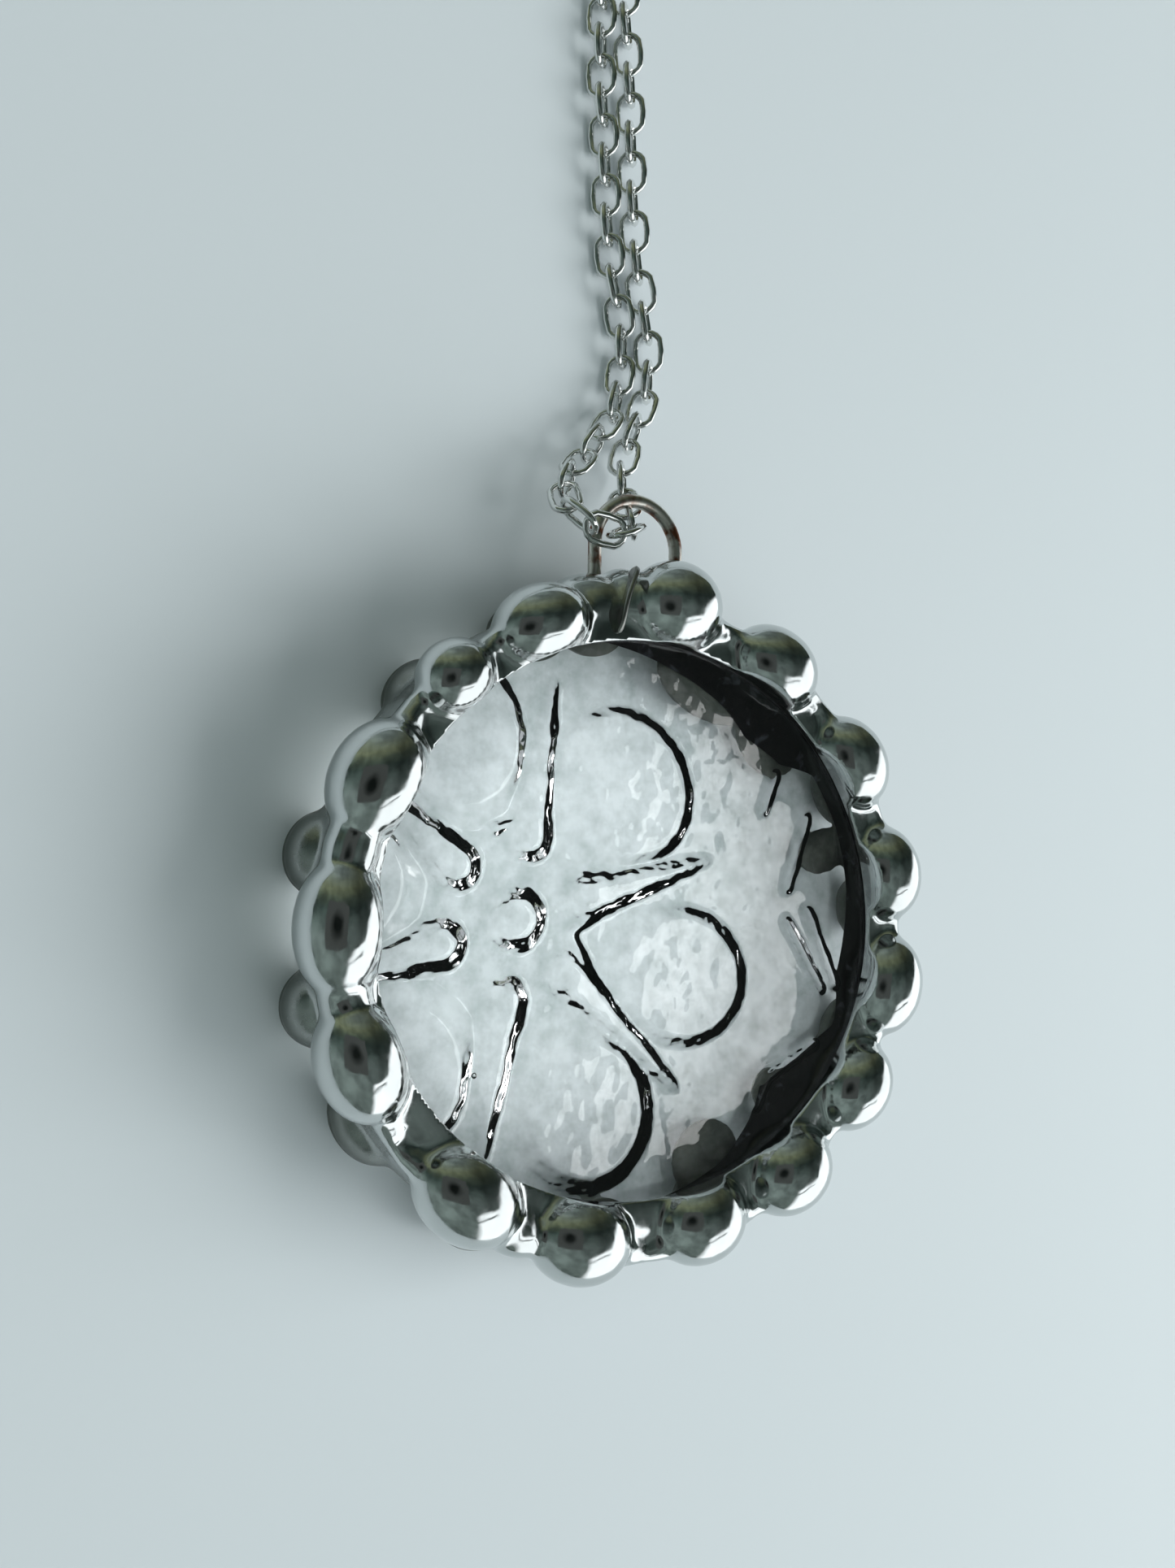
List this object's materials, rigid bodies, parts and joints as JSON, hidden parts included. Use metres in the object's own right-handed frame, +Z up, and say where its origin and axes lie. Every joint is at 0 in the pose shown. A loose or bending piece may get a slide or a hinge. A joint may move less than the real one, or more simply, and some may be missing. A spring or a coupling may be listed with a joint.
{
  "type": "flower pendant",
  "caption": "Round pressed-glass pendant with a flower in its back, a beaded solder rim and a wire loop, threaded on a fine cable chain that closes with a ring clasp, lying flat.",
  "frame": {"origin": "middle of the whole necklace's bounding box, on the surface it lies on", "axes": "+Z up, out of the pendant's front face; +Y along the necklace, from the pendant to the clasp; +X to the right as seen from above"},
  "size_m": [0.1224, 0.2086, 0.009],
  "materials": {
    "clear_glass": "pressed, clear",
    "black_foil": "matte black foil backing",
    "solder": "bright hand-laid solder, slightly uneven",
    "silver_chain": "bright silver, slightly tarnished"
  },
  "bodies": {
    "root": {"glass_roundel": "clear_glass", "foil_band": "black_foil", "solder_frame": "solder", "chain": "silver_chain", "spring_ring_clasp": "silver_chain", "clasp_jump_ring": "silver_chain", "tag_jump_ring": "silver_chain"}
  },
  "joints": []
}
